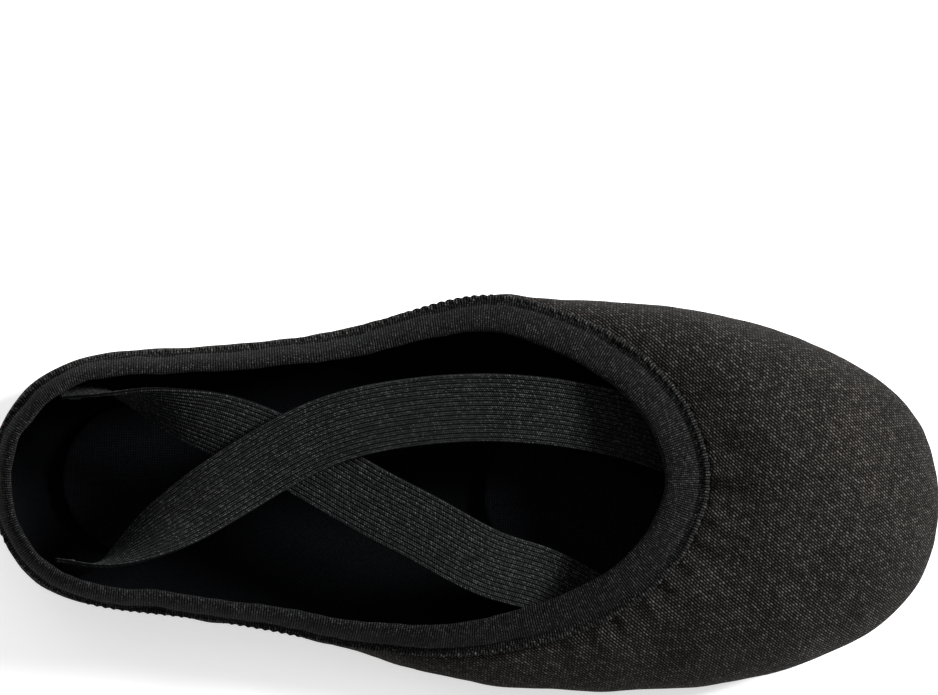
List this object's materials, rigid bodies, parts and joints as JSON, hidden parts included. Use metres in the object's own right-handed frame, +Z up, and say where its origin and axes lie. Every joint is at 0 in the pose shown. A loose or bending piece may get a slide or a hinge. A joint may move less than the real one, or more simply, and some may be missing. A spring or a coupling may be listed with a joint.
{
  "type": "ballet slipper",
  "caption": "Soft split-sole ballet slipper in canvas with suede sole pads, an elastic binding, crossing elastic straps and a foldable arch.",
  "frame": {"origin": "on the floor under the middle of the slipper's length and width, as it lies open on its sole pads", "axes": "+X towards the toe, +Y to the wearer's left, +Z up"},
  "size_m": [0.232, 0.0964, 0.046],
  "materials": {
    "canvas": "black stretch canvas, matt, fine crossed weave",
    "cotton_lining": "black cotton, matt, fine plain weave",
    "knit_binding": "black folded knit tape, matt, fine crosswise ribs",
    "binding_elastic": "flat covered elastic, hidden in the binding",
    "piping": "black rolled seam edge with close stitching",
    "suede": "black split suede, fine short nap, paler skived edge",
    "sole_thread": "grey-black twisted polyester thread",
    "insole_foam": "thin closed-cell foam, hidden under the sock",
    "cotton_sock": "black brushed cotton",
    "strap_elastic": "black ribbed woven elastic, slight sheen",
    "tack_thread": "black twisted polyester thread, dense bar tacks",
    "seam_tape": "black twilled cotton tape"
  },
  "bodies": {
    "forefoot": {"vamp_canvas": "canvas", "vamp_lining": "cotton_lining", "throat_binding": "knit_binding", "throat_binding_elastic": "binding_elastic", "throat_piping": "piping", "arch_canvas": "canvas", "arch_lining": "cotton_lining", "arch_left_binding": "knit_binding", "arch_left_binding_elastic": "binding_elastic", "arch_left_piping": "piping", "arch_right_binding": "knit_binding", "arch_right_binding_elastic": "binding_elastic", "arch_right_piping": "piping", "forefoot_sole_pad": "suede", "forefoot_stitches_outer": "sole_thread", "forefoot_stitches_inner": "sole_thread", "forefoot_insole_foam": "insole_foam", "forefoot_sock": "cotton_sock", "elastic_strap_left": "strap_elastic", "elastic_strap_right": "strap_elastic", "front_tack_left": "tack_thread", "front_tack_right": "tack_thread"},
    "heel": {"left_quarter_canvas": "canvas", "right_quarter_canvas": "canvas", "left_quarter_lining": "cotton_lining", "right_quarter_lining": "cotton_lining", "back_seam_tape": "seam_tape", "heel_binding": "knit_binding", "heel_binding_elastic": "binding_elastic", "heel_piping": "piping", "heel_sole_pad": "suede", "heel_stitches_outer": "sole_thread", "heel_stitches_inner": "sole_thread", "heel_insole_foam": "insole_foam", "heel_sock": "cotton_sock", "heel_tack_left": "tack_thread", "heel_tack_right": "tack_thread"}
  },
  "joints": [
    {"name": "arch_fold", "type": "hinge", "parent": "forefoot", "child": "heel", "pos_m": [-0.016, 0, 0], "axis": [0, -1, 0], "range_deg": [-35, 172], "deforming": ["arch_canvas", "arch_lining", "arch_left_binding", "arch_left_binding_elastic", "arch_left_piping", "arch_right_binding", "arch_right_binding_elastic", "arch_right_piping", "elastic_strap_left", "elastic_strap_right"]}
  ]
}
